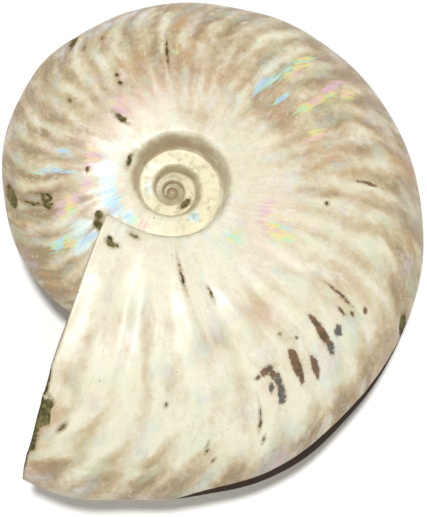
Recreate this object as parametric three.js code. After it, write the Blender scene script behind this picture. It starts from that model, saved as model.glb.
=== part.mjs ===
// A whole polished ammonite (a Cleoniceras type): one solid of shell filled with stone, lying on its flank.
// Millimetres, +Z up. The origin is under the middle of the shell, on the surface that it rests on.
//
// The shell is a flat coil. Its outline is a logarithmic spiral, and every cross-section is the same shape at
// a different size. A place on it is (turn, reach, side): turn is the angle in radians back from the broken
// mouth, reach is the distance from the coiling axis as a share of the rim's there, and side is 1 above and
// -1 below.
import * as THREE from "three";
import { ParametricGeometry } from "three/addons/geometries/ParametricGeometry.js";
import { mergeGeometries, mergeVertices } from "three/addons/utils/BufferGeometryUtils.js";

// --- Driving dimensions ---
const MOUTH_RADIUS = 62.5; // coiling axis to rim at the broken mouth
const MOUTH_BEARING = 240; // degrees anticlockwise from +X, of the rim at the mouth
const WHORL_RATIO = 2.07; // a whorl's radius over the radius one turn further in
const AXIS_SHIFT = [-0.7, 0.6]; // how far the coil's middle lies off the centre that its rim winds about
const HALF_THICKNESS = 0.25; // the rest of the section is stated in shares of the rim's radius
const THICKEST_REACH = 0.36;
const FLANK_CURVE = 2.05; // how late the flank turns down towards the rim
const RIM_CURVE = 0.66; // and how bluntly it closes there: 0.5 is a full round, 1 an edge
const INNER_DIP = 0.28; // how much thinner the section would be at the axis
const SEAM_REACH = 0.192; // where a whorl meets the flank of the one inside it
const SEAM_FLARE = 0.04; // how much further out the seam swings at the mouth
const SEAM_FLARE_SWEEP = 50; // degrees over which that swing dies away beyond the mouth
const OUTER_WALL_RUN = 0.03; // from the seam out to the top of the umbilical wall, on the last whorl
const INNER_WALL_RUN = 0.06; // and on the whorls inside it, where the wall is less steep
const WALL_CHANGE = [60, 300]; // degrees back from the mouth between which the one becomes the other
const WALL_CURVE = 2.4; // how round the wall's shoulder is
const WALL_FOOT = 0.59; // below 1, the wall leaves the seam steeply
const MIDDLE_HEIGHT = 0.5; // of the coil's very middle, as a share of the innermost whorl's thickness
const FOLDS_PER_TURN = 20; // sickle-shaped folds over the flanks
const FOLD_HEIGHT = 0.0035;
const FOLD_CREST = 0.72; // the reach where a fold stands furthest back
const FOLD_INNER_BOW = 40; // degrees forward for each unit of reach squared, inside the crest
const FOLD_OUTER_BOW = 122; // and outside it
const FOLD_SPAN = [0.28, 0.5, 0.86, 0.99]; // reaches where the folds begin, are full, start to fade, and end
const FRACTURE_SWEEP = 9.3; // degrees forward that the broken mouth leans, halfway from the rim to the axis
const FRACTURE_CORNER = 0.5; // degrees: how far back the mouth's worn corner is rounded off at the rim
const CORNER_START = 0.95; // the share of the mouth's radius where that rounding starts
const OUTER_SPAN = [0.5, 1]; // reaches between which the axis shift fades out and the swells below come in
// Where the rim leaves the spiral: degrees back from the mouth, spread in degrees, and share of the radius.
const RIM_SWELLS = [
  [8, 8, 0.018],
  [48, 13, 0.03],
  [193, 14, -0.012],
  [252, 10, 0.015],
  [301, 14, -0.02],
];
const REST_LEAN = 6; // degrees that the coil's plane leans as the shell lies on its thick last whorl
const REST_BEARING = 201.4; // the side that the lean lifts
const GROUND_DEPTH = 0.5; // polishing has ground the underside flat by this much where it rests

// --- Mesh steps ---
const STEPS_PER_TURN = 100;
const INNER_TURNS = 2; // whorls that show inside the last one
const WALL_STEPS = 5; // from a whorl's seam to where the next seam would lie
const FLANK_STEPS = 9; // from there to the rim
const MOUTH_STEPS = 3; // across the broken face
const WALL_CROWDING = 1.8; // above 1, the wall's steps are closer together near the seam
const SETTLING_ROUNDS = 40;

const TURN = 2 * Math.PI;
const growth = Math.log(WHORL_RATIO) / TURN;
const radians = THREE.MathUtils.degToRad;
const { clamp, lerp, smoothstep } = THREE.MathUtils;

// --- The outline ---
const rimRadius = (turn) => MOUTH_RADIUS * Math.exp(-growth * turn);

function rimSwell(turn) {
  const swellAt = ([at, spread, share]) => share * Math.exp(-(((turn - radians(at)) / radians(spread)) ** 2));
  return RIM_SWELLS.reduce((sum, swell) => sum + swellAt(swell), 0);
}

function radiusAt(turn, reach) {
  return reach * rimRadius(turn) * (1 + rimSwell(turn) * smoothstep(reach, ...OUTER_SPAN));
}

// Grid lines across the shell all have the broken mouth's plan shape, so that the mouth is one of them.
function mouthSweep(radius) {
  const share = Math.max(radius / MOUTH_RADIUS, SEAM_REACH);
  const corner = Math.max((share - CORNER_START) / (1 - CORNER_START), 0) ** 2;
  const lean = Math.max(1 / share - 1, 0);
  return radians(FRACTURE_CORNER) * corner - radians(FRACTURE_SWEEP) * lean;
}

// The seam, where a whorl meets the flank of the one inside it, and where the next seam lies on this one.
const seamReach = (turn) => SEAM_REACH + SEAM_FLARE * (1 - smoothstep(turn, -radians(SEAM_FLARE_SWEEP), 0));
const nextSeamReach = (turn) => WHORL_RATIO * seamReach(turn - TURN);

// --- The cross-section ---
function foldRelief(turn, reach) {
  const [begin, full, fade, end] = FOLD_SPAN;
  const bow = radians(reach < FOLD_CREST ? FOLD_INNER_BOW : FOLD_OUTER_BOW) * (reach - FOLD_CREST) ** 2;
  const strength = smoothstep(reach, begin, full) * (1 - smoothstep(reach, fade, end));
  return FOLD_HEIGHT * strength * Math.cos(FOLDS_PER_TURN * (turn + bow));
}

// Half the thickness on the flank, as a share of the rim's radius, with no umbilical wall.
function flankHeight(turn, reach) {
  const fromThickest = (reach - THICKEST_REACH) / (1 - THICKEST_REACH);
  const outer = (1 - clamp(fromThickest, 0, 1) ** FLANK_CURVE) ** RIM_CURVE;
  const inner = 1 - INNER_DIP * Math.min(fromThickest, 0) ** 2;
  return HALF_THICKNESS * outer * inner + foldRelief(turn, reach) * outer;
}

// With the wall, which climbs from the flank of the whorl inside.
function height(turn, reach) {
  const flank = flankHeight(turn, reach);
  const foot = flankHeight(turn + TURN, nextSeamReach(turn + TURN)) / WHORL_RATIO;
  const run = lerp(OUTER_WALL_RUN, INNER_WALL_RUN, smoothstep(turn, ...WALL_CHANGE.map(radians)));
  const climb = clamp((reach - seamReach(turn)) / run, 0, 1);
  return lerp(foot, flank, (1 - (1 - climb) ** WALL_CURVE) ** WALL_FOOT);
}

// --- Points on the shell, in the coil's own frame ---
// Two patches reach a shared point by different sums, so each point is put on a grid fine enough to hide it.
const onGrid = (length) => Math.round(length * 1e4) / 1e4;

// The point on a grid line where the reach is what reachAt gives for the turn there.
function shellPoint(line, reachAt, side, target) {
  // The sweep depends on the radius and the radius on the sweep: some rounds settle both.
  let turn = line;
  for (let round = 0; round < SETTLING_ROUNDS; round++) {
    turn = line + mouthSweep(radiusAt(turn, reachAt(turn)));
  }
  const reach = reachAt(turn);
  const radius = radiusAt(turn, reach);
  const bearing = radians(MOUTH_BEARING) + turn;
  const shift = 1 - smoothstep(reach, ...OUTER_SPAN);
  const x = radius * Math.cos(bearing) + shift * AXIS_SHIFT[0];
  const y = radius * Math.sin(bearing) + shift * AXIS_SHIFT[1];
  const z = reach >= 1 ? 0 : side * rimRadius(turn) * height(turn, reach);
  return target.set(onGrid(x), onGrid(y), onGrid(z));
}

// From the seam (share 0) to where the next whorl's seam lies (1), closer together on the steep wall.
function wall(line, share, side, target) {
  const reachAt = (turn) => lerp(seamReach(turn), nextSeamReach(turn), share ** WALL_CROWDING);
  return shellPoint(line, reachAt, side, target);
}

// Over the rim, from where the upper side's next seam lies (share 0) to the lower side's (1).
function overRim(line, share, target) {
  const outward = Math.sin((1 - Math.abs(2 * share - 1)) * (Math.PI / 2));
  const side = share <= 0.5 ? 1 : -1;
  return shellPoint(line, (turn) => lerp(nextSeamReach(turn), 1, outward), side, target);
}

// --- The surface, patch by patch ---
const patch = (columns, rows, point) => new ParametricGeometry(point, columns, rows);

function turnedRound(geometry) {
  const index = geometry.index.array;
  for (let i = 0; i < index.length; i += 3) [index[i + 1], index[i + 2]] = [index[i + 2], index[i + 1]];
  return geometry;
}

const faces = (geometry, reversed) => (reversed ? turnedRound(geometry) : geometry);

// The rim and outer flanks of the last whorl.
const outerFlanks = () =>
  patch(2 * FLANK_STEPS, STEPS_PER_TURN, (u, v, p) => overRim(v * TURN, u, p));

// The wall and inner flank on one side, from the mouth in to the innermost whorl.
const innerFlank = (side) =>
  faces(
    patch(WALL_STEPS, (1 + INNER_TURNS) * STEPS_PER_TURN, (u, v, p) =>
      wall(v * (1 + INNER_TURNS) * TURN, u, side, p),
    ),
    side < 0,
  );

// The broken mouth: from the last whorl's section to the rim of the whorl that it covers.
const brokenFace = () =>
  patch(2 * FLANK_STEPS, MOUTH_STEPS, (u, v, p) => {
    const inner = overRim(TURN, u, new THREE.Vector3());
    overRim(0, u, p).lerp(inner, 1 - v);
  });

// Its corner on one side, between the last whorl's wall and the seam.
const brokenCorner = (side) =>
  faces(
    patch(WALL_STEPS, MOUTH_STEPS, (u, v, p) => {
      const seam = wall(0, 0, side, new THREE.Vector3());
      wall(0, u, side, p).lerp(seam, 1 - v);
    }),
    side < 0,
  );

// The middle of the coil on one side, closed over the innermost seam.
function middle(side) {
  const last = (1 + INNER_TURNS) * TURN;
  const steps = STEPS_PER_TURN + WALL_STEPS;
  const boundary = (step, target) =>
    step <= STEPS_PER_TURN
      ? wall(last - TURN + (step / STEPS_PER_TURN) * TURN, 0, side, target)
      : wall(last, (step - STEPS_PER_TURN) / WALL_STEPS, side, target);
  const tip = new THREE.Vector3(...AXIS_SHIFT, side * rimRadius(last) * HALF_THICKNESS * MIDDLE_HEIGHT);
  return faces(
    patch(steps, 1, (u, v, p) => boundary(Math.round(u * steps), p).lerp(tip, v)),
    side < 0,
  );
}

// One closed skin: patches share the points on their edges, and faces with no area are left out.
function welded(patches) {
  for (const geometry of patches) {
    geometry.deleteAttribute("normal");
    geometry.deleteAttribute("uv");
  }
  const skin = mergeVertices(mergeGeometries(patches), 1e-4);
  const index = skin.index.array;
  const kept = [];
  for (let i = 0; i < index.length; i += 3) {
    const [a, b, c] = [index[i], index[i + 1], index[i + 2]];
    if (a !== b && b !== c && c !== a) kept.push(a, b, c);
  }
  skin.setIndex(kept);
  return skin;
}

// Lays the shell on its underside, with the spots that it rests on ground flat at z = 0.
function laidDown(geometry) {
  const bearing = radians(REST_BEARING);
  const hinge = new THREE.Vector3(-Math.sin(bearing), Math.cos(bearing), 0);
  geometry.applyMatrix4(new THREE.Matrix4().makeRotationAxis(hinge, -radians(REST_LEAN)));
  geometry.computeBoundingBox();
  const { min, max } = geometry.boundingBox;
  geometry.translate(-(min.x + max.x) / 2, -(min.y + max.y) / 2, -min.z - GROUND_DEPTH);
  const position = geometry.attributes.position;
  for (let i = 0; i < position.count; i++) position.setZ(i, Math.max(position.getZ(i), 0));
  return geometry;
}

const shell = laidDown(
  welded([
    outerFlanks(),
    innerFlank(1),
    innerFlank(-1),
    brokenFace(),
    brokenCorner(1),
    brokenCorner(-1),
    middle(1),
    middle(-1),
  ]),
);
shell.computeVertexNormals();

const nacre = new THREE.MeshStandardMaterial({ color: 0xd9cbb2, roughness: 0.35, metalness: 0 });
const ammonite = new THREE.Mesh(shell, nacre);
ammonite.name = "ammonite";

const part = new THREE.Group();
part.add(ammonite);
export default part;
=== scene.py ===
"""Looks for a polished ammonite fossil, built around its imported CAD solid.

The shell is one natural piece, so it is one mesh: the CAD's own coil, drawn far more finely, with the
ribs, pits, flaked keel and broken stone face as real relief. Lengths are millimetres until the mesh is
handed to Blender.

A place on the coil is (turn, reach, side), as in the CAD: turn is the angle in radians back from the
broken mouth, reach is the distance from the coiling axis as a share of the rim's there, and side is 1
above and -1 below.
"""

import math

import bpy
import numpy as np
from mathutils import Matrix, Vector


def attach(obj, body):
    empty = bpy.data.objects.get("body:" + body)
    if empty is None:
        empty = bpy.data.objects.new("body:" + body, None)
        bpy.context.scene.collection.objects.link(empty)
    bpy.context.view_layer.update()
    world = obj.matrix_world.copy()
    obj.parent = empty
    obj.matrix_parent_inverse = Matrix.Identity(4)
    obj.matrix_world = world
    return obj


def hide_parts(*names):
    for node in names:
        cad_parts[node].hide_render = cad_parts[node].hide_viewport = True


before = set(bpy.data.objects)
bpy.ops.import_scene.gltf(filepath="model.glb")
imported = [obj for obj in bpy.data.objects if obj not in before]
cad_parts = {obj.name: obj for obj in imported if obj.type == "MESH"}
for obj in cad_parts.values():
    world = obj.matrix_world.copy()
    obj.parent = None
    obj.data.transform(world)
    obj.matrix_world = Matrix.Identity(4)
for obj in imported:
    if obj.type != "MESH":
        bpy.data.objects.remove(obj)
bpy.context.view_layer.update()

MM = 0.001
TURN = 2 * math.pi

# --- The coil, with the CAD's own dimensions ---
MOUTH_RADIUS = 62.5
MOUTH_BEARING = 240  # degrees
WHORL_RATIO = 2.07
AXIS_SHIFT = (-0.7, 0.6)
HALF_THICKNESS = 0.25
THICKEST_REACH = 0.36
FLANK_CURVE = 2.05
RIM_CURVE = 0.66
INNER_DIP = 0.28
SEAM_REACH = 0.192
SEAM_FLARE = 0.04
SEAM_FLARE_SWEEP = 50  # degrees
OUTER_WALL_RUN = 0.03
INNER_WALL_RUN = 0.06
WALL_CHANGE = (60, 300)  # degrees
WALL_CURVE = 2.4
WALL_FOOT = 0.59
FOLDS_PER_TURN = 20
FOLD_HEIGHT = 0.0035
FOLD_CREST = 0.72
FOLD_INNER_BOW = 40  # degrees forward for each unit of reach squared
FOLD_OUTER_BOW = 122
FOLD_SPAN = (0.28, 0.5, 0.86, 0.99)
FRACTURE_SWEEP = 9.3  # degrees
FRACTURE_CORNER = 0.5  # degrees
CORNER_START = 0.95
OUTER_SPAN = (0.5, 1)
MIDDLE_HEIGHT = 0.5
RIM_SWELLS = [(8, 8, 0.018), (48, 13, 0.03), (193, 14, -0.012), (252, 10, 0.015), (301, 14, -0.02)]
REST_LEAN = 6  # degrees
REST_BEARING = 201.4  # degrees
GROUND_DEPTH = 0.5

# --- Mesh steps ---
STEPS_PER_TURN = 440
INNER_TURNS = 3
WALL_STEPS = 12
FLANK_STEPS = 50
MOUTH_STEPS = 24
WALL_CROWDING = 1.8
SETTLING_ROUNDS = 60
WELD_STEPS = 1e4  # in a millimetre: places that round to the same step become one vertex
NACRE_SLOT, STONE_SLOT = 0, 1  # the shell's materials

# --- The flat map that the materials can be baked on ---
MAP_SIZE = 254.0
MAP_APART = 58.0  # from the middle of the map to the axis of each side
MAP_DROP = 21.0  # the sides lie this far below the middle, which leaves room for the mouth
MOUTH_MAP = (-20.0, 105.0)

# --- Relief ---
RIBS_PER_TURN = 42
RIB_PHASE = 7.3  # degrees back from the mouth of the first rib
RIB_SPAN = (0.34, 0.55, 0.9, 0.99)  # reaches where the ribs begin, are full, fade and end
RIB_HEIGHT = 0.13
RIB_UNEVENNESS = 0.4  # share of their height
RIB_WANDER = 1.2  # degrees
WAVE_HEIGHT = 0.12  # the polished skin's slow unevenness
PIT_DEPTH = 0.25
PIT_SLOPE = (-0.5, 0.25)  # distances from a pit's edge where its slope ends and begins
DIMPLE_DEPTH = 0.08  # of the brown spots
DIMPLE_SLOPE = (-0.4, 0.2)
KEEL_DEPTH = 0.12  # where the keel's shell has flaked away
KEEL_SLOPE = (-0.08, 0.04)
KEEL_SPAN = (28, 90)  # degrees back from the mouth
KEEL_HALF_WIDTH = 1.25  # seen from above, at its widest
KEEL_SKEW = 0.756  # below 1, it is widest nearer the mouth
LIP_DEPTH = 1.1  # of the broken stone face, behind the edge of the shell
LIP_SLOPE = (0.15, 0.8)  # distances from the shell's edge
STONE_ROUGHNESS = 0.45
STONE_GRAIN = 0.15

# Stone left on the upper flank along the mouth.
CRUST_WIDTH = 2.6  # at its widest
CRUST_REACH = 0.84
CRUST_SPREAD = 0.09
CRUST_RAGGEDNESS = 0.35  # share of its width
CRUST_TRIM = 0.3  # taken off all along, so that it has ends

# The materials' place among the ribs counts ribs, parts of the reach, and steps of height.
REACH_PARTS = 10
RISE_STEP = 6

UNMARKED = 9.0  # distance to the nearest mark where there is none near

# Marks on the upper side: degrees back from the mouth, reach, and the half length along the ribs and the
# half width across them.
OLIVE_PITS = [
    (211.2, 0.655, 2.2, 0.27),
    (247.6, 0.432, 1.5, 0.5),
    (247, 0.418, 0.7, 0.6),
    (-15, 0.284, 0.5, 0.5),
    (-13.6, 0.293, 0.55, 0.8),
    (-11.4, 0.293, 0.45, 0.7),
    (-9.8, 0.289, 0.3, 0.5),
    (-4.4, 0.236, 0.3, 0.7),
    (323, 0.487, 0.8, 0.8),
    (328.5, 0.52, 0.7, 1.3),
    (272, 0.267, 0.45, 1.3),
    (791, 0.295, 0.7, 1.2),
    (240.8, 0.975, 1.6, 0.8),
    (240, 0.89, 0.3, 0.25),
    (233.5, 0.88, 0.3, 0.25),
    (235.5, 0.63, 0.3, 0.25),
    (236, 0.58, 0.4, 0.3),
    (258.5, 0.715, 0.35, 0.28),
    (3.8, 0.83, 0.75, 0.45),
    (25.5, 0.735, 0.28, 0.25),
    (46.5, 0.885, 0.35, 0.28),
    (47.2, 0.825, 0.8, 0.16),
    (46.6, 0.845, 0.5, 0.25),
    (34.5, 0.865, 0.25, 0.15),
    (34.3, 0.882, 0.22, 0.2),
    (35.4, 0.91, 0.2, 0.18),
    (109, 0.59, 0.35, 0.3),
    (61, 0.651, 0.15, 0.15),
    (64.5, 0.695, 0.12, 0.12),
    (290, 0.485, 0.3, 0.4),
    (44, 0.42, 0.7, 0.16),
    (31, 0.34, 1.6, 0.2),
    (300, 0.957, 1.0, 2.2),
    (88, 0.985, 1.0, 1.6),
]
MOSS_STRANDS = [
    (304.6, 0.84, 2.3, 0.22),
    (305.6, 0.82, 1.4, 0.2),
    (303.2, 0.77, 0.5, 0.9),
    (305.6, 0.755, 1.1, 0.5),
    (307.3, 0.745, 0.9, 0.45),
    (301.6, 0.775, 0.9, 0.2),
    (308.6, 0.74, 0.45, 0.35),
    (302.6, 0.745, 0.7, 0.3),
    (304.4, 0.725, 0.35, 0.8),
]
BROWN_SPOTS = [
    (71.6, 0.708, 1.7, 0.6),
    (71.1, 0.752, 1.7, 0.85),
    (61, 0.728, 1.1, 0.85),
    (60.4, 0.762, 1.8, 0.95),
    (60, 0.798, 0.9, 0.55),
    (64.5, 0.8, 1.6, 0.75),
    (63.7, 0.828, 0.5, 0.4),
    (53, 0.717, 0.6, 1.5),
    (53.8, 0.735, 0.8, 0.7),
    (83, 0.726, 2.2, 0.3),
    (79.5, 0.758, 0.8, 0.3),
    (81, 0.792, 0.35, 0.3),
    (84, 0.83, 0.4, 0.45),
    (119, 0.76, 1.6, 0.35),
    (70.6, 0.797, 1.2, 0.8),
    (75, 0.783, 0.8, 0.95),
    (54.4, 0.76, 1.4, 0.65),
    (54, 0.79, 1.3, 0.75),
    (53.5, 0.81, 0.7, 0.75),
    (52, 0.767, 0.6, 0.4),
    (49.8, 0.72, 0.35, 0.5),
]

# The photo doesn't show the underside, so its marks are random. Their four numbers are in these ranges.
SCATTER = ((0, 350), (0.45, 0.95), (0.5, 2.2), (0.3, 0.9))

# --- Broad colour ---
OUTER_END = (342, 352)  # degrees back from the mouth where the look of the inner whorls begins
BACK_SPAN = (60, 150, *OUTER_END)  # the tan back of the outer whorl
# Its bands along the ribs include the painted light on the ridges and painted shade in the grooves.
BOLD_SPAN = (80, 130, *OUTER_END)  # where its bands along the ribs are bolder

# Soft patches: degrees back from the mouth, reach, and the half width of each.
# Of the dark patches, those at turns 104, 325 and 65, at reach 0.93 and 0.95, darken the rim: painted
# shade.
DARK_PATCHES = [
    (155, 0.53, 13, 0.06),
    (146, 0.76, 12, 0.1),
    (104, 0.93, 16, 0.06),
    (200, 0.78, 4, 0.05),
    (285, 0.54, 9, 0.06),
    (308, 0.56, 8, 0.05),
    (306, 0.8, 10, 0.1),
    (325, 0.93, 14, 0.09),
    (192, 0.33, 14, 0.04),
    (65, 0.95, 16, 0.03),
]
LIGHT_PATCHES = [
    (246, 0.72, 14, 0.08),
    (225, 0.36, 25, 0.06),
    (300, 0.38, 22, 0.07),
    (337, 0.68, 8, 0.08),
    (175, 0.9, 9, 0.07),
    (50, 0.84, 20, 0.06),
    (20, 0.78, 9, 0.06),
]
RUST_PATCHES = [
    (186, 0.55, 9, 0.07),
    (204, 0.61, 7, 0.07),
    (229, 0.61, 9, 0.09),
    (270, 0.6, 6, 0.05),
    (284, 0.57, 7, 0.05),
    (150, 0.51, 7, 0.04),
    (84, 0.7, 7, 0.09),
    (40, 0.58, 8, 0.05),
    (12, 0.5, 6, 0.08),
    (60, 0.55, 6, 0.06),
    (128, 0.62, 7, 0.1),
    (206, 0.82, 3, 0.07),
    (236, 0.88, 5, 0.06),
    (265, 0.82, 6, 0.06),
    (0, 0.85, 3, 0.2),
]
GREY_PATCHES = [
    (70.5, 0.81, 3, 0.03),
    (75.5, 0.783, 2.6, 0.04),
    (53.8, 0.8, 3.6, 0.05),
]
# The glows below are the nacre's iridescent reflection, painted into its colour.
PALE_GLOW = [
    (312, 0.39, 14, 0.06),
    (334, 0.35, 9, 0.05),
    (325, 0.62, 5, 0.07),
    (333, 0.69, 4, 0.06),
    (290, 0.36, 8, 0.05),
    (421, 0.28, 10, 0.04),
    (655, 0.28, 22, 0.06),
    (300, 0.38, 25, 0.05),
]
BLUE_GLOW = [
    (318, 0.37, 14, 0.05),
    (292, 0.69, 1.6, 0.13),
    (331, 0.61, 3, 0.08),
    (325, 0.72, 2.5, 0.05),
    (338, 0.35, 7, 0.04),
    (166, 0.61, 2.5, 0.08),
    (157.5, 0.6, 1.6, 0.07),
    (421, 0.28, 8, 0.04),
    (282, 0.63, 2, 0.05),
]
GREEN_GLOW = [
    (314, 0.64, 2.4, 0.1),
    (326, 0.78, 2.4, 0.06),
    (329, 0.73, 2, 0.05),
    (149.5, 0.7, 2, 0.12),
    (148.5, 0.86, 1.5, 0.05),
    (163.5, 0.78, 2.4, 0.09),
    (72, 0.3, 5, 0.03),
    (90, 0.42, 6, 0.06),
    (207, 0.67, 1.6, 0.05),
]
ROSE_GLOW = [
    (282, 0.46, 9, 0.05),
    (242, 0.48, 6, 0.06),
    (310, 0.6, 4, 0.1),
    (352, 0.33, 8, 0.04),
    (137, 0.6, 2, 0.07),
    (302, 0.5, 6, 0.05),
    (96, 0.36, 10, 0.04),
    (152, 0.8, 1.6, 0.08),
]

# What the materials read from the vertices, besides the place among the ribs.
MARK_FIELDS = ("olive", "brown", "keel")
TONE_FIELDS = ("tan_and_painted_light", "rose", "glow", "glow_hue", "umbilicus", "inside", "core", "bands_and_rib_shading", "rust", "pale")
ATTRIBUTES = MARK_FIELDS + TONE_FIELDS + ("stone", "below", "grey")

# --- Light and camera ---
WORLD_STRENGTH = 0.35
LAMP_STRENGTH = 2.42
LAMP_ANGLE = 6  # degrees across, which softens the shadow's edge
LAMP_TILT = (-4, 0.6)  # degrees from straight down: the lamp stands a little behind the shell
FULL_LIGHT = 1.12  # on a surface that faces the lamp: WORLD_STRENGTH + LAMP_STRENGTH / pi, rounded
FLOOR_HALF = 3000
CAMERA_BACK = (0.0084, -0.1979)  # sideways parts of the unit vector from the shell to the camera
CAMERA_AIM = (-0.57, -3.91, 16.0)
CAMERA_DISTANCE = 350
CAMERA_ROLL = -2.32  # degrees
CAMERA_LENS = 124.88
CAMERA_CLIP = 10


# --- Small curves ---
def smoothstep(value, low, high):
    share = np.clip((value - low) / (high - low), 0, 1)
    return share * share * (3 - 2 * share)


def plateau(value, begin, full, fade, end):
    """Rises smoothly from 0 at begin to 1 at full, and falls from 1 at fade to 0 at end."""
    return smoothstep(value, begin, full) * (1 - smoothstep(value, fade, end))


def lerp(a, b, share):
    return a + (b - a) * share


def bump(value, at, spread):
    """A soft hill, 1 at its top."""
    return np.exp(-(((value - at) / spread) ** 2))


# --- The coil's formulas ---
def rim_radius(turn):
    return MOUTH_RADIUS * WHORL_RATIO ** (-turn / TURN)


def rim_swell(turn):
    return sum(share * bump(np.degrees(turn), at, spread) for at, spread, share in RIM_SWELLS)


def radius_at(turn, reach):
    return reach * rim_radius(turn) * (1 + rim_swell(turn) * smoothstep(reach, *OUTER_SPAN))


def mouth_sweep(radius):
    share = np.maximum(radius / MOUTH_RADIUS, SEAM_REACH)
    corner = np.maximum((share - CORNER_START) / (1 - CORNER_START), 0) ** 2
    lean = np.maximum(1 / share - 1, 0)
    return np.radians(FRACTURE_CORNER) * corner - np.radians(FRACTURE_SWEEP) * lean


def seam_reach(turn):
    return SEAM_REACH + SEAM_FLARE * (1 - smoothstep(np.degrees(turn), -SEAM_FLARE_SWEEP, 0))


def next_seam_reach(turn):
    return WHORL_RATIO * seam_reach(turn - TURN)


def rib_turn(turn, reach):
    """Turn with the folds' sickle-shaped bow taken out: the same all along one fold or rib."""
    bow = np.where(reach < FOLD_CREST, FOLD_INNER_BOW, FOLD_OUTER_BOW) * (reach - FOLD_CREST) ** 2
    return turn + np.radians(bow)


def rib_place(turn, reach):
    """Counts ribs, then parts of the reach outwards."""
    ribs = (rib_turn(turn, reach) - np.radians(RIB_PHASE)) / TURN * RIBS_PER_TURN
    return ribs, REACH_PARTS * reach


def fold_relief(turn, reach):
    strength = plateau(reach, *FOLD_SPAN)
    return FOLD_HEIGHT * strength * np.cos(FOLDS_PER_TURN * rib_turn(turn, reach))


def flank_height(turn, reach):
    from_thickest = (reach - THICKEST_REACH) / (1 - THICKEST_REACH)
    outer = (1 - np.clip(from_thickest, 0, 1) ** FLANK_CURVE) ** RIM_CURVE
    inner = 1 - INNER_DIP * np.minimum(from_thickest, 0) ** 2
    return HALF_THICKNESS * outer * inner + fold_relief(turn, reach) * outer


def wall_run(turn):
    return lerp(OUTER_WALL_RUN, INNER_WALL_RUN, smoothstep(np.degrees(turn), *WALL_CHANGE))


def height(turn, reach):
    foot = flank_height(turn + TURN, next_seam_reach(turn + TURN)) / WHORL_RATIO
    climb = np.clip((reach - seam_reach(turn)) / wall_run(turn), 0, 1)
    return lerp(foot, flank_height(turn, reach), (1 - (1 - climb) ** WALL_CURVE) ** WALL_FOOT)


# --- Sheets of points: each is a dictionary of arrays with one row for each grid line ---
def sheet(line, reach_at, side):
    """Places on lines that run like the mouth's broken edge. The reach depends on the turn."""
    turn = line + 0.0
    for _ in range(SETTLING_ROUNDS):
        turn = line + mouth_sweep(radius_at(turn, reach_at(turn)))
    reach = reach_at(turn)
    radius = radius_at(turn, reach)
    bearing = np.radians(MOUTH_BEARING) + turn
    z = np.where(reach >= 1, 0, side * rim_radius(turn) * height(turn, reach))
    shift = 1 - smoothstep(reach, *OUTER_SPAN)
    x = radius * np.cos(bearing) + shift * AXIS_SHIFT[0]
    y = radius * np.sin(bearing) + shift * AXIS_SHIFT[1]
    place = np.stack([x, y, z], -1)
    return {"place": place, "turn": turn, "reach": reach, "line": line + 0.0, "side": side + 0.0 * turn}


def wall(line, share, side):
    """The strip of each whorl that the umbilicus shows, from its own seam out to the next whorl's."""
    crowded = share**WALL_CROWDING
    return sheet(line, lambda turn: lerp(seam_reach(turn), next_seam_reach(turn), crowded), side)


def over_rim(line, share):
    """The outer whorl, from its upper seam over the rim to its lower seam."""
    outward = np.sin((1 - np.abs(2 * share - 1)) * (np.pi / 2))
    side = np.where(share <= 0.5, 1.0, -1.0)
    return sheet(line, lambda turn: lerp(next_seam_reach(turn), 1, outward), side)


def grid(first, last, rows, columns):
    return np.meshgrid(np.linspace(first, last, rows + 1), np.linspace(0, 1, columns + 1), indexing="ij")


def along(places):
    """The distance walked across each row of a sheet, from its first column."""
    steps = np.linalg.norm(np.diff(places, axis=1), axis=2)
    return np.concatenate([np.zeros((len(places), 1)), np.cumsum(steps, axis=1)], axis=1)


def flat_map(points, walked):
    """Where a sheet lies on the flat: the upper and the lower side are rolled out from the coiling axis."""
    bearing = np.arctan2(points["place"][..., 1] - AXIS_SHIFT[1], points["place"][..., 0] - AXIS_SHIFT[0])
    side = np.sign(points["side"])
    spot = np.stack([side * walked * np.cos(bearing), walked * np.sin(bearing)], -1)
    return spot + np.stack([side * MAP_APART, 0 * side], -1)


def inner_flank(side):
    """All that one side's umbilicus shows of the whorls, down to the innermost."""
    rows = (1 + INNER_TURNS) * STEPS_PER_TURN
    line, share = grid(0, (1 + INNER_TURNS) * TURN, rows, WALL_STEPS)
    points = wall(line, share, side)
    walked = along(points["place"])
    # A row starts where the row one turn further in ends, so the innermost whorl is settled first.
    innermost = points["place"][-STEPS_PER_TURN - 1 :, :1, :2] - AXIS_SHIFT
    walked[-STEPS_PER_TURN - 1 :] += np.linalg.norm(innermost, axis=2)
    for row in range(rows - STEPS_PER_TURN - 1, -1, -1):
        walked[row] += walked[row + STEPS_PER_TURN, -1]
    points["map"] = flat_map(points, walked)
    points["walked"] = walked
    return points


def outer_flanks(upper, lower):
    """The outer whorl in two halves, each rolled out beyond the inner whorls of its side."""
    line, share = grid(0, TURN, STEPS_PER_TURN, 2 * FLANK_STEPS)
    upper_columns = slice(0, FLANK_STEPS + 1)
    lower_columns = slice(2 * FLANK_STEPS, FLANK_STEPS - 1, -1)
    halves = []
    for inner, columns, side in ((upper, upper_columns, 1.0), (lower, lower_columns, -1.0)):
        points = over_rim(line[:, columns], share[:, columns])
        points["side"] = np.full_like(points["side"], side)
        walked = along(points["place"]) + inner["walked"][: STEPS_PER_TURN + 1, -1:]
        points["map"] = flat_map(points, walked)
        halves.append(points)
    return halves


def broken_face():
    """The stone across the mouth, from the shell's edge to the whorl inside."""
    line, share = grid(0, 0, MOUTH_STEPS, 2 * FLANK_STEPS)
    depth = np.linspace(0, 1, MOUTH_STEPS + 1)[:, None]
    edge = over_rim(line, share)
    inner = over_rim(line + TURN, share)
    return face_between(edge, inner, depth)


def broken_corner(side):
    """The mouth's stone beside the umbilicus."""
    line, share = grid(0, 0, MOUTH_STEPS, WALL_STEPS)
    depth = np.linspace(0, 1, MOUTH_STEPS + 1)[:, None]
    return face_between(wall(line, share, side), wall(line, 0 * share, side), depth)


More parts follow.
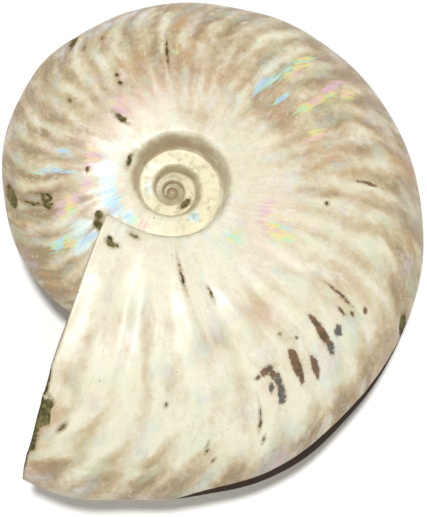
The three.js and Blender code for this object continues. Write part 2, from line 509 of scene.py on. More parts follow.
def face_between(edge, inner, depth):
    points = dict(edge)
    points["place"] = lerp(edge["place"], inner["place"], depth[..., None])
    # Depth below the lip: none at the shell's edge or where the whorl inside comes out of the stone.
    from_edge = np.linalg.norm(points["place"] - edge["place"], axis=2)
    from_inner = np.linalg.norm(points["place"] - inner["place"], axis=2)
    points["stone"] = np.minimum(from_edge, from_inner)
    radius = np.hypot(points["place"][..., 0], points["place"][..., 1])
    points["map"] = np.stack([radius + MOUTH_MAP[0], points["place"][..., 2] + MOUTH_MAP[1]], -1)
    return points


def middle(side, inner):
    """The coil's very middle: the ring of the innermost seam, drawn in to a point."""
    ring = {name: values[-STEPS_PER_TURN - 1 :, 0] for name, values in inner.items()}
    end = {name: values[-1, 1:] for name, values in inner.items()}
    outline = {name: np.concatenate([ring[name], end[name]])[None] for name in ring}
    tip = {}
    for name, values in outline.items():
        tip[name] = np.repeat(values.mean(axis=1, keepdims=True), values.shape[1], axis=1)
    tip_height = side * rim_radius((1 + INNER_TURNS) * TURN) * HALF_THICKNESS * MIDDLE_HEIGHT
    tip["place"] = np.zeros_like(tip["place"]) + (*AXIS_SHIFT, tip_height)
    tip["map"] = np.zeros_like(tip["map"]) + (side * MAP_APART, 0)
    return {name: np.concatenate([outline[name], tip[name]]) for name in outline}


# --- One closed skin out of the sheets ---
FIELDS = ("turn", "reach", "line", "side", "stone")


def welded(sheets):
    places, maps, triangles, materials = [], [], [], []
    fields = {name: [] for name in FIELDS}
    start = 0
    for points, turned, material in sheets:
        rows, columns = points["turn"].shape
        index = start + np.arange(rows * columns).reshape(rows, columns)
        a, b, c, d = index[:-1, :-1], index[:-1, 1:], index[1:, 1:], index[1:, :-1]
        pair = np.stack([a, b, c, a, c, d], -1).reshape(-1, 3)
        triangles.append(pair[:, ::-1] if turned else pair)
        materials.append(np.full(len(pair), material))
        places.append(points["place"].reshape(-1, 3))
        maps.append(points["map"].reshape(-1, 2))
        for name in FIELDS:
            values = points.get(name, np.zeros((rows, columns)))
            fields[name].append(values.reshape(-1))
        start += rows * columns
    places = np.concatenate(places)
    triangles = np.concatenate(triangles)
    steps = np.round(places * WELD_STEPS)
    _, first, shared = np.unique(steps, axis=0, return_index=True, return_inverse=True)
    shared = shared.reshape(-1)
    joined = shared[triangles]
    kept = (joined[:, 0] != joined[:, 1]) & (joined[:, 1] != joined[:, 2]) & (joined[:, 2] != joined[:, 0])
    return {
        "place": places[first],
        "triangles": joined[kept],
        "corner_map": np.concatenate(maps)[triangles[kept]],
        "material": np.concatenate(materials)[kept],
        **{name: np.concatenate(values)[first] for name, values in fields.items()},
    }


def normals_of(places, triangles):
    a, b, c = (places[triangles[:, i]] for i in range(3))
    across = np.cross(b - a, c - a)
    total = np.zeros_like(places)
    for i in range(3):
        np.add.at(total, triangles[:, i], across)
    return total / np.maximum(np.linalg.norm(total, axis=1, keepdims=True), 1e-12)


def lean_down(places):
    """Leans the coil as it rests and centres it as the CAD does. Returns what does the same to points."""
    bearing = math.radians(REST_BEARING)
    hinge = Vector((-math.sin(bearing), math.cos(bearing), 0))
    turned = np.array(Matrix.Rotation(-math.radians(REST_LEAN), 3, hinge))
    leaned = places @ turned.T
    low, high = leaned.min(axis=0), leaned.max(axis=0)
    shift = np.array([-(low[0] + high[0]) / 2, -(low[1] + high[1]) / 2, -low[2] - GROUND_DEPTH])
    return lambda points: points @ turned.T + shift


def shell_skin():
    upper, lower = inner_flank(1.0), inner_flank(-1.0)
    top_half, under_half = outer_flanks(upper, lower)
    # Each sheet, whether its triangles are turned over, and its material.
    return welded(
        [
            (top_half, False, NACRE_SLOT),
            (under_half, True, NACRE_SLOT),
            (upper, False, NACRE_SLOT),
            (lower, True, NACRE_SLOT),
            (broken_face(), True, STONE_SLOT),
            (broken_corner(1.0), True, STONE_SLOT),
            (broken_corner(-1.0), False, STONE_SLOT),
            (middle(1.0, upper), False, NACRE_SLOT),
            (middle(-1.0, lower), True, NACRE_SLOT),
        ]
    )


# --- Fields over the skin ---
def waves(places, size, seed, count=10):
    """A smooth random field from -1 to 1 or so, with features of about the size given."""
    random = np.random.default_rng(seed)
    total = np.zeros(len(places))
    for _ in range(count):
        direction = random.normal(size=3)
        direction *= TURN / (2 * size) * random.uniform(0.6, 1.6) / np.linalg.norm(direction)
        total += np.sin(places @ direction + random.uniform(0, TURN))
    return total / math.sqrt(count / 2)


def distance_to(marks, skin, side):
    """Distance to the edge of the nearest mark, below 0 inside it."""
    along_ribs = rib_turn(skin["turn"], skin["reach"])
    nearest = np.full(len(along_ribs), UNMARKED)
    radius = radius_at(skin["turn"], skin["reach"])
    for at, reach, half_length, half_width in marks:
        across = (along_ribs - rib_turn(np.radians(at), reach)) * radius
        up = (skin["reach"] - reach) * rim_radius(skin["turn"])
        round_it = np.hypot(across / half_width, up / half_length)
        edge = (round_it - 1) * min(half_length, half_width)
        nearest = np.minimum(nearest, edge)
    return np.where(skin["side"] == side, nearest, UNMARKED)


def scattered_marks(count, seed):
    random = np.random.default_rng(seed)
    return [tuple(random.uniform(low, high) for low, high in SCATTER) for _ in range(count)]


def keel_wear(skin):
    """Distance to the edge of the stretch of keel whose shell has flaked away, below 0 inside it."""
    start, end = KEEL_SPAN
    share = np.clip((np.degrees(skin["turn"]) - start) / (end - start), 0, 1)
    half_width = KEEL_HALF_WIDTH * np.sin(np.pi * share**KEEL_SKEW)
    inward = (1 - skin["reach"]) * rim_radius(skin["turn"])
    return np.where((share > 0) & (share < 1), inward - half_width, UNMARKED)


def mouth_crust(skin):
    """Distance to the edge of the stone left on the upper flank along the broken mouth."""
    ragged = 1 + CRUST_RAGGEDNESS * waves(skin["place"], size=2.2, seed=12)
    width = CRUST_WIDTH * bump(skin["reach"], CRUST_REACH, CRUST_SPREAD) * ragged - CRUST_TRIM
    from_mouth = skin["line"] * radius_at(skin["turn"], skin["reach"])
    return np.where(skin["side"] > 0, from_mouth - width, UNMARKED)


def add_marks(skin):
    """Distances to the marks: to all of them for the relief, as sunk and dimple. The others are for the
    materials, which work out the upper side's marks for themselves."""
    places = skin["place"]
    skin["rise"] = places[:, 2].copy()
    under_olive = distance_to(scattered_marks(16, seed=71), skin, -1)
    under_olive = under_olive + 0.25 * waves(places, size=1.2, seed=7)
    under_brown = distance_to(scattered_marks(14, seed=72), skin, -1)
    under_brown = under_brown + 0.2 * waves(places, size=1.4, seed=8)
    skin["olive"] = np.minimum(under_olive, mouth_crust(skin))
    skin["brown"] = under_brown
    skin["sunk"] = np.minimum(skin["olive"], distance_to(OLIVE_PITS + MOSS_STRANDS, skin, 1))
    skin["dimple"] = np.minimum(skin["brown"], distance_to(BROWN_SPOTS, skin, 1))
    skin["keel"] = keel_wear(skin)


def hollow(distance, depth, slope):
    """Height of the skin at a distance from a mark's edge: none outside, and down by the depth inside."""
    return -depth * (1 - smoothstep(distance, *slope))


def shell_relief(skin):
    """Height of the shell's ribs, slow waves, pits, dimples and flaked keel."""
    places = skin["place"]
    scale = rim_radius(skin["turn"]) / MOUTH_RADIUS
    strength = plateau(skin["reach"], *RIB_SPAN)
    uneven = 1 - RIB_UNEVENNESS + RIB_UNEVENNESS * waves(places, size=14, seed=3)
    wander = np.radians(RIB_WANDER) * waves(places, size=20, seed=4)
    from_crest = rib_turn(skin["turn"], skin["reach"]) - np.radians(RIB_PHASE) + wander
    ribs = RIB_HEIGHT * scale * strength * uneven * np.cos(from_crest * RIBS_PER_TURN)
    slow_waves = WAVE_HEIGHT * scale * waves(places, size=9, seed=2)
    pits = hollow(skin["sunk"], PIT_DEPTH, PIT_SLOPE) + hollow(skin["dimple"], DIMPLE_DEPTH, DIMPLE_SLOPE)
    keel = hollow(skin["keel"], KEEL_DEPTH, KEEL_SLOPE)
    return ribs + slow_waves + pits + keel


def relieved(skin):
    """The skin's places with the shell's relief, and with the broken stone sunk behind the shell's lip."""
    places = skin["place"]
    outward = np.where(skin["stone"] > 0, 0, shell_relief(skin))
    moved = places + normals_of(places, skin["triangles"]) * outward[:, None]
    bearing = np.radians(MOUTH_BEARING)
    inward = np.array([-math.sin(bearing), math.cos(bearing), 0])
    rough = STONE_ROUGHNESS * waves(places, size=3.5, seed=9)
    grain = STONE_GRAIN * waves(places, size=1.2, seed=10)
    sunk = smoothstep(skin["stone"], *LIP_SLOPE) * (LIP_DEPTH + rough + grain)
    return moved + inward * sunk[:, None]


def blobs(skin, patches):
    """How strongly each place belongs to any of some soft patches."""
    degrees = np.degrees(skin["turn"])
    total = np.zeros(len(degrees))
    for at, reach, spread, reach_spread in patches:
        total = np.maximum(total, bump(degrees, at, spread) * bump(skin["reach"], reach, reach_spread))
    return total


def add_ground(skin):
    """Cream in front, partly a painted sheen; tan behind; darker towards the rim as painted shade; and rosy
    round the umbilicus.
    """
    degrees = np.degrees(skin["turn"])
    reach = skin["reach"]
    # Both grow darker towards the rim, which is painted shade where the rim turns from the lamp. The low
    # value in front is partly a painted sheen.
    front_tan_and_painted_light = 0.06 + 0.12 * smoothstep(reach, 0.6, 0.85) + 0.6 * smoothstep(reach, 0.85, 1)
    back_tan_and_rim_shade = 0.28 + 0.3 * smoothstep(reach, 0.36, 0.52) + 0.4 * smoothstep(reach, 0.8, 1)
    # The dark patches at the rim add painted shade to this unevenness.
    uneven = 0.38 * blobs(skin, DARK_PATCHES) - 0.25 * blobs(skin, LIGHT_PATCHES)
    skin["tan_and_painted_light"] = np.clip(lerp(front_tan_and_painted_light, back_tan_and_rim_shade, plateau(degrees, *BACK_SPAN)) + uneven, 0, 1.2)
    skin["rust"] = blobs(skin, RUST_PATCHES)
    skin["grey"] = blobs(skin, GREY_PATCHES)
    skin["below"] = (skin["side"] < 0) + 0.0
    behind_umbilicus = 0.9 * bump(degrees, 250, 70) * bump(reach, 0.45, 0.12)
    beside_umbilicus = 0.6 * bump(degrees, 95, 30) * bump(reach, 0.4, 0.12)
    skin["rose"] = np.clip(behind_umbilicus + beside_umbilicus, 0, 1)
    # How strong the bands along the ribs are, with the ribs' painted light and shade, boldest at the front.
    front_bands = lerp(1.7, 0.75, smoothstep(degrees, 22, 48))
    back_bands = 0.55 * plateau(degrees, *BOLD_SPAN)
    skin["bands_and_rib_shading"] = smoothstep(reach, 0.3, 0.6) * (front_bands + back_bands)


def add_glow(skin):
    """Where the nacre's iridescence is painted into its colour as a fixed reflection, and in what hue: 0 is
    blue, 0.5 green and 1 rose.
    """
    above = skin["side"] > 0
    skin["pale"] = np.where(above, blobs(skin, PALE_GLOW), 0)
    blue, green, rose = (blobs(skin, patches) for patches in (BLUE_GLOW, GREEN_GLOW, ROSE_GLOW))
    below = 0.5 * smoothstep(waves(skin["place"], size=14, seed=21), 0.6, 1.6)
    skin["glow"] = np.where(above, np.maximum(np.maximum(blue, green), rose), below)
    hue = (0.5 * green + rose) / np.maximum(blue + green + rose, 1e-6)
    hue_below = 0.5 + 0.4 * waves(skin["place"], size=18, seed=22)
    skin["glow_hue"] = np.where(above, hue, hue_below)


def add_umbilicus(skin):
    """How stained the umbilical walls are, partly as painted shade in the recess that is strongest at the
    top, and how dull the inner whorls and the core.
    """
    degrees = np.degrees(skin["turn"])
    climb = (skin["reach"] - seam_reach(skin["turn"])) / wall_run(skin["turn"])
    # Strongest round 225 degrees, at the top of the umbilicus: painted shade on the wall, besides its
    # stain.
    stain_and_shade = np.where(degrees < 360, 0.45 + 0.55 * bump(degrees, 225, 75), 0.6)
    skin["umbilicus"] = stain_and_shade * (1 - smoothstep(climb, 0.45, 1.15))
    skin["inside"] = smoothstep(degrees, 350, 440)
    skin["core"] = smoothstep(degrees, 780, 1050)


# --- From arrays to a Blender mesh ---
def put_attribute(mesh, name, values, kind="FLOAT"):
    attribute = mesh.attributes.new(name, kind, "POINT")
    key = "vector" if kind == "FLOAT_VECTOR" else "value"
    attribute.data.foreach_set(key, np.asarray(values, np.float32).reshape(-1))


def shell_object(skin, places):
    mesh = bpy.data.meshes.new("fossil_shell")
    triangles = skin["triangles"]
    mesh.vertices.add(len(places))
    mesh.vertices.foreach_set("co", (places * MM).astype(np.float32).reshape(-1))
    mesh.loops.add(3 * len(triangles))
    mesh.loops.foreach_set("vertex_index", triangles.astype(np.int32).reshape(-1))
    mesh.polygons.add(len(triangles))
    mesh.polygons.foreach_set("loop_start", np.arange(0, 3 * len(triangles), 3, dtype=np.int32))
    mesh.polygons.foreach_set("material_index", skin["material"].astype(np.int32))
    mesh.polygons.foreach_set("use_smooth", np.ones(len(triangles), bool))
    mesh.update(calc_edges=True)
    layer = mesh.uv_layers.new(name="OFBake")
    corner = (MAP_SIZE / 2, MAP_SIZE / 2 - MAP_DROP)
    spots = (skin["corner_map"].reshape(-1, 2) + corner) / MAP_SIZE
    layer.data.foreach_set("uv", spots.astype(np.float32).reshape(-1))
    rib = np.stack([*rib_place(skin["turn"], skin["reach"]), skin["rise"] / RISE_STEP], -1)
    put_attribute(mesh, "rib", rib, "FLOAT_VECTOR")
    for name in ATTRIBUTES:
        put_attribute(mesh, name, skin[name])
    return bpy.data.objects.new("fossil_shell", mesh)


def fossil():
    skin = shell_skin()
    add_marks(skin)
    add_ground(skin)
    add_glow(skin)
    add_umbilicus(skin)
    settle = lean_down(skin["place"])
    places = settle(relieved(skin))
    places[:, 2] = np.maximum(places[:, 2], 0)  # ground flat where it rests
    return shell_object(skin, places)


# --- Materials ---
def shade(red, green, blue):
    """The colour of a surface that looks like this, from 0 to 255, where the light falls straight on it."""
    linear = [((v / 255 + 0.055) / 1.055) ** 2.4 for v in (red, green, blue)]
    return tuple(v / FULL_LIGHT for v in linear) + (1,)


CREAM = shade(250, 245, 218)
IVORY = shade(237, 228, 199)
TAN = shade(213, 193, 154)
TAUPE = shade(173, 151, 115)
CHALK = shade(253, 252, 240)
LILAC = shade(206, 199, 198)
ROSE = shade(243, 214, 194)
# The umbilical walls' stain, partly painted shade.
STAIN_AND_SHADE = shade(196, 172, 140)
BUFF = shade(243, 233, 192)
MOSS = shade(176, 166, 130)
CORE = shade(150, 134, 98)
OLIVE = shade(70, 68, 38)
LICHEN = shade(128, 122, 78)
RUST = shade(150, 118, 70)
RUSTY = shade(206, 168, 124)
MAUVE = shade(180, 156, 142)
PEARL = shade(232, 252, 247)
SPOT_BROWN = shade(126, 92, 60)
SPOT_DARK = shade(84, 62, 46)
SPOT_GREY = shade(88, 88, 84)
KEEL_BROWN = shade(46, 31, 26)
KEEL_PALE = shade(62, 46, 38)
SEDIMENT = shade(84, 76, 50)
SILT = shade(126, 110, 80)
SAND = shade(170, 154, 122)
DARK_GRAIN = shade(58, 50, 34)
GLINT = shade(206, 196, 170)
SHELL_EDGE = shade(214, 194, 156)
FLOOR_WHITE = (0.97, 0.97, 0.97, 1)

# Ramps: where on the ramp each colour stands.
# The pale end of GROUND also stands for the painted sheen in front, and its dark end for the painted shade
# at the rim.
GROUND = [(0.0, CREAM), (0.25, IVORY), (0.6, TAN), (1.0, TAUPE)]
STONE = [(0.3, SEDIMENT), (0.5, SILT), (0.7, SAND)]
TINTS = [
    (0.32, shade(246, 214, 200)),
    (0.44, shade(240, 240, 196)),
    (0.54, shade(208, 236, 206)),
    (0.64, shade(208, 230, 244)),
    (0.74, shade(236, 208, 224)),
]
RAINBOW = [
    (0.0, shade(186, 222, 246)),
    (0.2, shade(196, 246, 248)),
    (0.4, shade(198, 240, 190)),
    (0.6, shade(240, 242, 140)),
    (0.76, shade(250, 214, 184)),
    (1.0, shade(232, 194, 206)),
]

NOISE_SPAN = (0.3, 0.7)  # a noise goes from 0 to 1, and is mostly between these


class Paint:
    """A material, with short ways to make its nodes. Each returns the new node's output.

    Cycles draws an object black when its material has to keep too many values at once, which is why
    the marks are made of plain arithmetic.
    """

    def __init__(self, name):
        self.material = bpy.data.materials.new(name)
        self.material.use_nodes = True
        self.tree = self.material.node_tree
        self.shader = self.tree.nodes["Principled BSDF"]
        self.colour = None

    def put(self, socket, value):
        if isinstance(value, bpy.types.NodeSocket):
            self.tree.links.new(value, socket)
        else:
            socket.default_value = value

    def field(self, name, vector=False):
        node = self.tree.nodes.new("ShaderNodeAttribute")
        node.attribute_name = name
        return node.outputs["Vector" if vector else "Fac"]

    def place(self):
        """Position in millimetres."""
        metres = self.tree.nodes.new("ShaderNodeTexCoord").outputs["Object"]
        return self.scaled(metres, (1 / MM, 1 / MM, 1 / MM))

    def scaled(self, vector, by):
        node = self.tree.nodes.new("ShaderNodeVectorMath")
        node.operation = "MULTIPLY"
        self.put(node.inputs[0], vector)
        node.inputs[1].default_value = by
        return node.outputs[0]

    def noise(self, vector, size=1.0, detail=3.0, roughness=0.55, distortion=0.0, offset=(0, 0, 0)):
        if offset != (0, 0, 0):
            node = self.tree.nodes.new("ShaderNodeVectorMath")
            self.put(node.inputs[0], vector)
            node.inputs[1].default_value = offset
            vector = node.outputs[0]
        node = self.tree.nodes.new("ShaderNodeTexNoise")
        self.put(node.inputs["Vector"], vector)
        node.inputs["Scale"].default_value = 1 / size
        node.inputs["Detail"].default_value = detail
        node.inputs["Roughness"].default_value = roughness
        node.inputs["Distortion"].default_value = distortion
        return node.outputs["Fac"]

    def cells(self, vector, size):
        """The distance to the middle of the nearest cell, and a random number for each cell."""
        node = self.tree.nodes.new("ShaderNodeTexVoronoi")
        self.put(node.inputs["Vector"], vector)
        node.inputs["Scale"].default_value = 1 / size
        kind = self.tree.nodes.new("ShaderNodeSeparateColor")
        self.put(kind.inputs["Color"], node.outputs["Color"])
        return node.outputs["Distance"], kind.outputs["Red"]

    def marks(self, rib, marks):
        """Millimetres to the edge of the nearest mark on the upper side, below 0 inside it."""
        parts = self.tree.nodes.new("ShaderNodeSeparateXYZ")
        self.put(parts.inputs[0], rib)
        nearest = UNMARKED
        for at, reach, half_length, half_width in marks:
            turn = np.radians(at)
            rim = rim_radius(turn)
            least = min(half_length, half_width)
            ribs, reach_parts = rib_place(turn, reach)
            per_rib = TURN / RIBS_PER_TURN * reach * rim / half_width
            per_part = rim / REACH_PARTS / half_length
            across = self.math("MULTIPLY_ADD", parts.outputs["X"], per_rib, -ribs * per_rib)
            up = self.math("MULTIPLY_ADD", parts.outputs["Y"], per_part, -reach_parts * per_part)
            squares = self.math("MULTIPLY_ADD", across, across, self.times(up, up))
            edge = self.math("MULTIPLY_ADD", self.math("SQRT", squares), least, -least)
            nearest = self.least(nearest, edge)
        return self.math("MULTIPLY_ADD", self.field("below"), UNMARKED, nearest)

    def math(self, operation, a, b=0.0, c=0.0):
        node = self.tree.nodes.new("ShaderNodeMath")
        node.operation = operation
        for socket, value in zip(node.inputs, (a, b, c)):
            self.put(socket, value)
        return node.outputs[0]

    def add(self, a, b):
        return self.math("ADD", a, b)

    def times(self, a, b):
        return self.math("MULTIPLY", a, b)

    def least(self, a, b):
        return self.math("MINIMUM", a, b)

    def fade(self, value, low, high, out_low=0.0, out_high=1.0):
        """A smooth step from out_low at low to out_high at high."""
        node = self.tree.nodes.new("ShaderNodeMapRange")
        node.interpolation_type = "SMOOTHSTEP"
        if low > high:
            low, high, out_low, out_high = high, low, out_high, out_low
        node.inputs["From Min"].default_value = low
        node.inputs["From Max"].default_value = high
        node.inputs["To Min"].default_value = out_low
        node.inputs["To Max"].default_value = out_high
        self.put(node.inputs["Value"], value)
        return node.outputs["Result"]

    def swing(self, noise, amount):
        """A noise, made to go from -amount to amount."""
        return self.fade(noise, *NOISE_SPAN, -amount, amount)

    def mix(self, share, a, b):
        node = self.tree.nodes.new("ShaderNodeMix")
        node.data_type = "RGBA"
        self.put(node.inputs["Factor"], share)
        sockets = [s for s in node.inputs if s.type == "RGBA"]
        self.put(sockets[0], a)
        self.put(sockets[1], b)
        return next(s for s in node.outputs if s.type == "RGBA")

    def lay(self, share, colour):
        """Lays a share of a colour over what has been painted so far."""
        self.colour = self.mix(share, self.colour, colour)

    def ramp(self, value, stops):
        node = self.tree.nodes.new("ShaderNodeValToRGB")
        elements = node.color_ramp.elements
        while len(elements) < len(stops):
            elements.new(0.5)
        for element, (at, colour) in zip(elements, stops):
            element.position = at
            element.color = colour
        self.put(node.inputs["Fac"], value)
        return node.outputs["Color"]

    def bump(self, height, distance, strength):
        node = self.tree.nodes.new("ShaderNodeBump")
        node.inputs["Strength"].default_value = strength
        node.inputs["Distance"].default_value = distance * MM
        self.put(node.inputs["Height"], height)
        return node.outputs["Normal"]


class Nacre(Paint):
    """The shell's polished mother-of-pearl. Each step paints over what the steps before it left."""

    def __init__(self):
        super().__init__("nacre")
        self.here = self.place()
        self.rib = self.field("rib", vector=True)
        # Cream to tan: lower in front, partly as a painted sheen, and higher at the rim as painted shade.
        self.tan_and_painted_light = self.field("tan_and_painted_light")
        self.bands_and_rib_shading = self.field("bands_and_rib_shading")
        self.patches = self.noise(self.here, size=10, roughness=0.5)
        self.streaks = self.along_ribs((0.7, 0.5, 1), roughness=0.5, distortion=0.4)
        self.fine = self.along_ribs((2.2, 0.9, 1.6), roughness=0.5, distortion=0.5)
        self.lines = self.along_ribs((8, 1.4, 3), roughness=0.6)
        self.mottle = self.noise(self.here, size=3.2, detail=4, offset=(31, 7, 13))
        self.grain = self.noise(self.here, size=1.1, roughness=0.6, offset=(2, 37, 3))
        self.speckle = self.noise(self.here, size=0.6, roughness=0.6, offset=(5, 51, 3))

    def along_ribs(self, scale, **kind):
        """Noise that follows the ribs, stretched along them by its scale."""
        return self.noise(self.scaled(self.rib, scale), **kind)

    def ground(self):
        """Cream to tan by where it is, partly painted sheen and rim shade, broken up by patches and by
        bands along the ribs.
        """
        clear = self.noise(self.here, size=12, detail=2, roughness=0.5, offset=(71, 7, 3))
        lively = self.fade(self.tan_and_painted_light, 0.15, 0.75, 0.4, 0.7)
        count = self.tree.nodes.new("ShaderNodeSeparateXYZ")
        self.put(count.inputs[0], self.rib)
        wander = self.add(count.outputs["X"], self.swing(self.streaks, 0.2))
        # The ribs' ridges are painted lighter and their grooves darker, in step with the relief: painted
        # light and shade on the ribs.
        wave = self.math("COSINE", self.times(wander, TURN))
        rib_light_and_shade = self.times(wave, self.fade(clear, 0.35, 0.65, -0.12, -0.24))
        bands = self.add(self.swing(self.streaks, 0.09), self.swing(self.fine, 0.09))
        bands = self.times(self.add(bands, rib_light_and_shade), self.bands_and_rib_shading)
        uneven = self.add(self.swing(self.patches, 0.2), self.swing(self.mottle, 0.2))
        uneven = self.add(uneven, self.swing(self.grain, 0.14))
        tone = self.add(self.tan_and_painted_light, self.times(uneven, lively))
        self.colour = self.ramp(self.add(tone, bands), GROUND)
        self.lay(self.times(self.field("rose"), 0.65), ROSE)
        self.lay(self.times(self.field("rust"), self.fade(self.fine, 0.35, 0.6, 0.35, 0.85)), RUSTY)

    def clouding(self):
        """Chalky, lilac and mauve clouds, hair-thin growth lines, specks and rusty stains."""
        chalky = self.along_ribs((1.3, 0.7, 1), detail=4, roughness=0.6, offset=(9, 2, 4))
        self.lay(self.fade(chalky, 0.54, 0.7, 0, 0.5), CHALK)
        lilac = self.noise(self.here, size=4.5, detail=4, offset=(3, 17, 29))
        self.lay(self.fade(lilac, 0.54, 0.7, 0, 0.3), LILAC)
        mauve = self.noise(self.here, size=7, offset=(13, 61, 5))
        self.lay(self.times(self.fade(mauve, 0.46, 0.62, 0, 0.4), self.fade(self.tan_and_painted_light, 0.45, 0.75)), MAUVE)
        self.lay(self.fade(self.lines, 0.52, 0.75, 0, 0.2), TAUPE)
        self.lay(self.fade(self.lines, 0.46, 0.28, 0, 0.1), CHALK)
        self.lay(self.fade(self.speckle, 0.58, 0.76, 0, 0.5), CHALK)
        self.lay(self.fade(self.speckle, 0.42, 0.26, 0, 0.3), TAUPE)
        rusty = self.along_ribs((0.9, 0.6, 1), offset=(19, 5, 44))
        self.lay(self.times(self.fade(rusty, 0.56, 0.7, 0, 0.5), self.fade(self.tan_and_painted_light, 0.35, 0.65)), RUSTY)

    def iridescence(self):
        """Painted iridescent reflection: pale tints everywhere, pearly patches, and bright streaks of
        changing hue along the ribs.
        """
        tint = self.along_ribs((0.6, 0.6, 1), detail=2, roughness=0.5, offset=(23, 71, 5))
        tint = self.ramp(tint, TINTS)
        faint = self.along_ribs((1.7, 0.8, 1), roughness=0.5, offset=(77, 1, 5))
        self.lay(self.fade(faint, 0.46, 0.66, 0, 0.32), tint)
        shimmer = self.along_ribs((3.6, 0.8, 1), detail=4, roughness=0.6, distortion=0.6, offset=(40, 3, 8))
        sheen = self.along_ribs((1.6, 0.8, 1), roughness=0.6, distortion=0.6, offset=(14, 33, 8))
        pearly = self.add(self.field("pale"), self.fade(sheen, *NOISE_SPAN, -0.3, 0.2))
        self.lay(self.fade(pearly, 0.2, 0.7, 0, 0.85), PEARL)
        hue = self.add(self.field("glow_hue"), self.swing(sheen, 0.4))
        rainbow = self.ramp(hue, RAINBOW)
        lit = self.add(self.field("glow"), self.fade(shimmer, 0.32, 0.64, -0.55, 0.25))
        self.lay(self.fade(lit, 0.2, 0.75, 0, 0.85), rainbow)
        return pearly

    def inner_whorls(self, pearly):
        """Makes the inner whorls dull and mossy, unless they are pearly, and darkens the umbilical walls
        with stain and painted shade.
        """
        inside = self.field("inside")
        self.lay(self.times(inside, self.fade(pearly, 0.2, 0.7, 0.6, 0)), BUFF)
        mossy = self.noise(self.here, size=1.8, detail=4, roughness=0.65, offset=(61, 3, 1))
        self.lay(self.times(inside, self.fade(mossy, 0.48, 0.66, 0, 0.6)), MOSS)
        self.lay(self.times(self.field("core"), 0.75), CORE)
        stain_and_wall_shade = self.add(self.field("umbilicus"), self.swing(self.mottle, 0.25))
        stain_and_shade_colour = self.mix(self.fade(self.patches, 0.42, 0.58), STAIN_AND_SHADE, MOSS)
        self.lay(self.fade(stain_and_wall_shade, 0.15, 1.0, 0, 0.9), stain_and_shade_colour)

    def dots(self):
        """Small brown dots in some of the cells."""
        middle_distance, kind = self.cells(self.here, 3.6)
        is_dot = self.times(self.fade(middle_distance, 0.06, 0.035), self.fade(kind, 0.62, 0.66))
        self.lay(self.times(is_dot, 0.6), SPOT_BROWN)

    def brown_spots(self, nibbled):
        """Brown spots, grey in a few patches, each in a paler ring."""
        edge = self.add(self.least(self.marks(self.rib, BROWN_SPOTS), self.field("brown")), nibbled)
        brown = self.mix(self.fade(self.grain, 0.4, 0.62), SPOT_BROWN, SPOT_DARK)
        grey = self.mix(self.fade(self.speckle, 0.5, 0.7, 0, 0.35), SPOT_GREY, LILAC)
        greyness = self.add(self.field("grey"), self.swing(self.mottle, 0.25))
        spot = self.mix(self.fade(greyness, 0.4, 0.6), brown, grey)
        self.lay(self.fade(edge, 0.55, -0.05, 0, 0.4), TAUPE)
        self.lay(self.fade(edge, 0.16, -0.14, 0, 0.92), spot)

    def olive_marks(self, ragged, nibbled):
        """Pits and strands of olive stone, each in a rusty ring. Returns the distance to their edges."""
        pits = self.least(self.marks(self.rib, OLIVE_PITS), self.field("olive"))
        strands = self.add(self.marks(self.rib, MOSS_STRANDS), self.times(ragged, 0.8))
        edge = self.least(self.add(pits, self.times(nibbled, 0.7)), strands)
        self.lay(self.fade(edge, 0.6, 0.05, 0, 0.5), RUST)
        olive = self.mix(self.fade(self.grain, 0.35, 0.62), OLIVE, LICHEN)
        self.lay(self.fade(edge, 0.1, -0.1, 0, 0.95), olive)
        return edge

    def keel(self, ragged):
        """Dark brown where the keel's shell has flaked away. Returns how far it has, from 0 to 1."""
        edge = self.add(self.field("keel"), self.times(ragged, 0.15))
        brown = self.mix(self.fade(self.mottle, 0.35, 0.65), KEEL_BROWN, KEEL_PALE)
        flaked = self.fade(edge, 0.05, -0.05, 0, 0.97)
        self.lay(flaked, brown)
        return flaked

    def surface(self, olive_edge, flaked):
        """Polished shell, duller on the bare stone, with the growth lines and specks as fine relief."""
        bare = self.math("MAXIMUM", self.fade(olive_edge, 0.15, -0.05), flaked)
        polish = self.fade(self.mottle, *NOISE_SPAN, 0.34, 0.5)
        rough = self.add(polish, self.times(bare, 0.35))
        self.put(self.shader.inputs["Roughness"], rough)
        self.put(self.shader.inputs["Specular IOR Level"], self.fade(bare, 0, 1, 0.5, 0.1))
        self.put(self.shader.inputs["Coat Weight"], self.fade(bare, 0, 1, 0.12, 0))
        relief = self.add(self.times(self.lines, 0.5), self.times(self.speckle, 0.35))
        self.put(self.shader.inputs["Normal"], self.bump(relief, 0.06, 0.6))
        self.put(self.shader.inputs["IOR"], 1.45)
        self.put(self.shader.inputs["Coat Roughness"], 0.25)


def nacre():
    paint = Nacre()
    paint.ground()
    paint.clouding()
    pearly = paint.iridescence()
    paint.inner_whorls(pearly)
    paint.dots()
    ragged = paint.swing(paint.grain, 0.16)
    nibbled = paint.add(ragged, paint.swing(paint.speckle, 0.07))
    paint.brown_spots(nibbled)
    olive_edge = paint.olive_marks(ragged, nibbled)
    flaked = paint.keel(ragged)
    paint.put(paint.shader.inputs["Base Color"], paint.colour)
    paint.surface(olive_edge, flaked)
    return paint.material


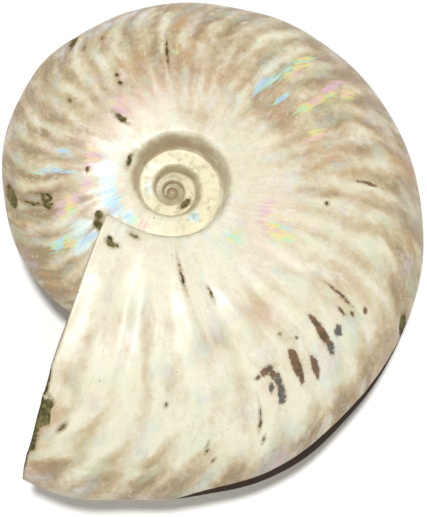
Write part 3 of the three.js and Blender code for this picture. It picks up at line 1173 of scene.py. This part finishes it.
def matrix_stone():
    """The rough stone of the broken face, paler towards the edge of the shell."""
    paint = Paint("matrix_stone")
    place = paint.place()
    clouds = paint.noise(place, size=6, detail=5, roughness=0.6)
    grains = paint.noise(place, size=0.9, detail=4, roughness=0.65, offset=(4, 4, 4))
    paint.colour = paint.ramp(clouds, STONE)
    paint.lay(paint.fade(grains, 0.45, 0.7, 0, 0.5), DARK_GRAIN)
    middle_distance, _ = paint.cells(place, 1.6)
    paint.lay(paint.fade(middle_distance, 0.22, 0.1, 0, 0.4), GLINT)
    shell_edge = paint.add(paint.field("stone"), paint.swing(clouds, 0.35))
    paint.lay(paint.fade(shell_edge, 0.9, 0.55), SHELL_EDGE)
    paint.put(paint.shader.inputs["Base Color"], paint.colour)
    paint.put(paint.shader.inputs["Roughness"], paint.fade(grains, *NOISE_SPAN, 0.6, 0.85))
    paint.put(paint.shader.inputs["Normal"], paint.bump(grains, 0.35, 0.8))
    return paint.material


# --- Floor, light and camera ---
def white_floor():
    mesh = bpy.data.meshes.new("floor")
    half = FLOOR_HALF * MM
    corners = [(x * half, y * half, 0) for x, y in ((-1, -1), (1, -1), (1, 1), (-1, 1))]
    mesh.from_pydata(corners, [], [(0, 1, 2, 3)])
    floor = bpy.data.objects.new("floor", mesh)
    bpy.context.scene.collection.objects.link(floor)
    paint = Paint("floor")
    paint.put(paint.shader.inputs["Base Color"], FLOOR_WHITE)
    paint.put(paint.shader.inputs["Roughness"], 0.9)
    paint.put(paint.shader.inputs["Specular IOR Level"], 0.1)
    mesh.materials.append(paint.material)


def light():
    """A white room, and a lamp nearly overhead."""
    world = bpy.data.worlds.new("studio")
    world.use_nodes = True
    world.node_tree.nodes["Background"].inputs["Color"].default_value = (1, 1, 1, 1)
    world.node_tree.nodes["Background"].inputs["Strength"].default_value = WORLD_STRENGTH
    bpy.context.scene.world = world

    lamp = bpy.data.lights.new("overhead", "SUN")
    lamp.energy = LAMP_STRENGTH
    lamp.angle = math.radians(LAMP_ANGLE)
    overhead = bpy.data.objects.new("overhead", lamp)
    overhead.rotation_euler = (math.radians(LAMP_TILT[0]), math.radians(LAMP_TILT[1]), 0)
    bpy.context.scene.collection.objects.link(overhead)


def camera():
    back = Vector((*CAMERA_BACK, math.sqrt(1 - CAMERA_BACK[0] ** 2 - CAMERA_BACK[1] ** 2)))
    right = Vector((0, 1, 0)).cross(back).normalized()
    up = back.cross(right)
    turned = Matrix((right, up, back)).transposed() @ Matrix.Rotation(math.radians(CAMERA_ROLL), 3, "Z")
    data = bpy.data.cameras.new("camera")
    data.lens = CAMERA_LENS
    data.clip_start = CAMERA_CLIP * MM
    made = bpy.data.objects.new("camera", data)
    place = (Vector(CAMERA_AIM) + back * CAMERA_DISTANCE) * MM
    made.matrix_world = Matrix.Translation(place) @ turned.to_4x4()
    bpy.context.scene.collection.objects.link(made)
    bpy.context.scene.camera = made


# --- The scene ---
shell = fossil()
bpy.context.scene.collection.objects.link(shell)
shell.data.materials.append(nacre())
shell.data.materials.append(matrix_stone())
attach(shell, "root")
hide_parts("ammonite")

white_floor()
light()
camera()
bpy.context.scene.view_settings.view_transform = "Standard"
